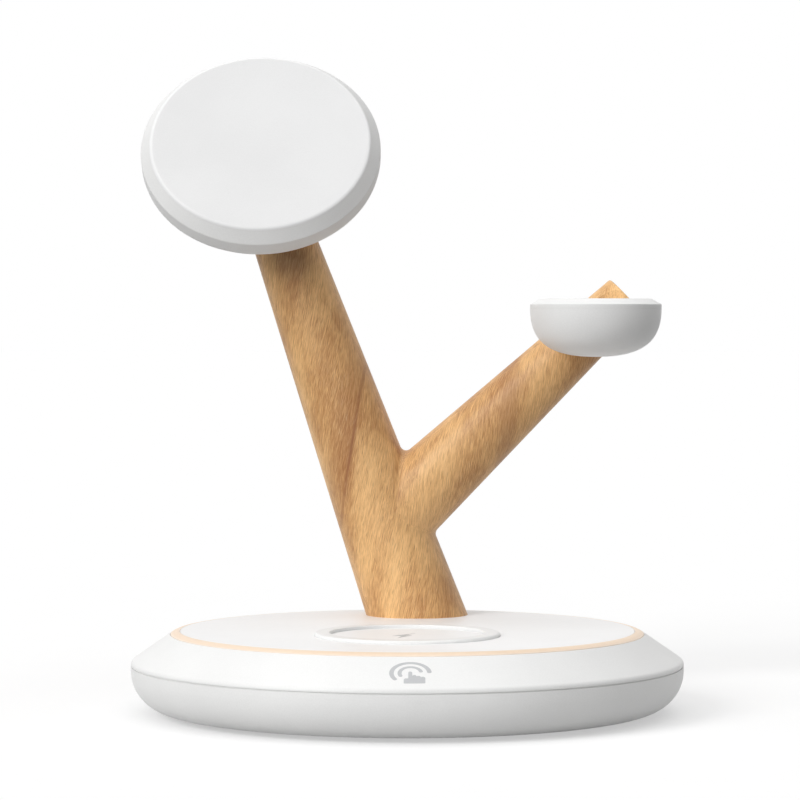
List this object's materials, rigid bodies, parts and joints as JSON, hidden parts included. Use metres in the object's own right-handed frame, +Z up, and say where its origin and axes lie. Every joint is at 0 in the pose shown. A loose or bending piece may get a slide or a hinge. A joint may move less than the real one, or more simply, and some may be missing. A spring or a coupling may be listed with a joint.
{
  "type": "charging station organizer",
  "caption": "Branch-shaped wireless charging stand: a forked wooden stem on a round white base with a light ring carries a tilting phone pad and a watch puck, with an earbud spot on the base.",
  "frame": {"origin": "centre of the round base on the floor", "axes": "+X to the side of the watch branch, +Y to the back where the inlet is, +Z up; the user sits on the -Y side"},
  "size_m": [0.1301, 0.13, 0.1577],
  "materials": {
    "white_shell": "satin",
    "white_gloss": "semi-gloss",
    "light_guide": "frosted",
    "board": "matte",
    "led": "gloss",
    "soft_white": "matte",
    "steel": "satin",
    "copper": "satin",
    "ferrite": "matte",
    "wood": "oiled satin",
    "lead_jacket": "matte",
    "nylon": "matte"
  },
  "bodies": {
    "stand": {"lower_shell": "white_shell", "rim_shell": "white_shell", "top_plate": "white_gloss", "light_ring": "light_guide", "led_board": "board", "leds": "led", "foot_ring": "soft_white", "base_screws": "steel", "ballast_plate": "steel", "main_board": "board", "board_screws": "steel", "inlet": "steel", "earbud_ring": "white_shell", "earbud_coil": "copper", "earbud_shield": "ferrite", "touch_electrode": "copper", "stem_plate": "steel", "stem_screws": "steel", "wood_stem": "wood", "phone_lead": "lead_jacket", "watch_lead": "lead_jacket", "watch_cup": "white_shell", "watch_cap": "white_shell", "watch_magnet": "steel", "watch_coil": "copper", "watch_shield": "ferrite", "hinge_barrel": "white_shell", "pivot_screws": "steel", "friction_washers": "nylon"},
    "phone_pad": {"pad_face": "soft_white", "pad_shell": "white_shell", "pad_cover": "white_shell", "pad_magnets": "steel", "pad_coil": "copper", "pad_shield": "ferrite", "pad_board": "board", "pad_lead": "lead_jacket"}
  },
  "joints": [
    {"name": "phone_pad_tilt", "type": "hinge", "parent": "stand", "child": "phone_pad", "pos_m": [-0.03581, 0.04, 0.12709], "axis": [1, 0, 0], "range_deg": [-30, 20]}
  ]
}
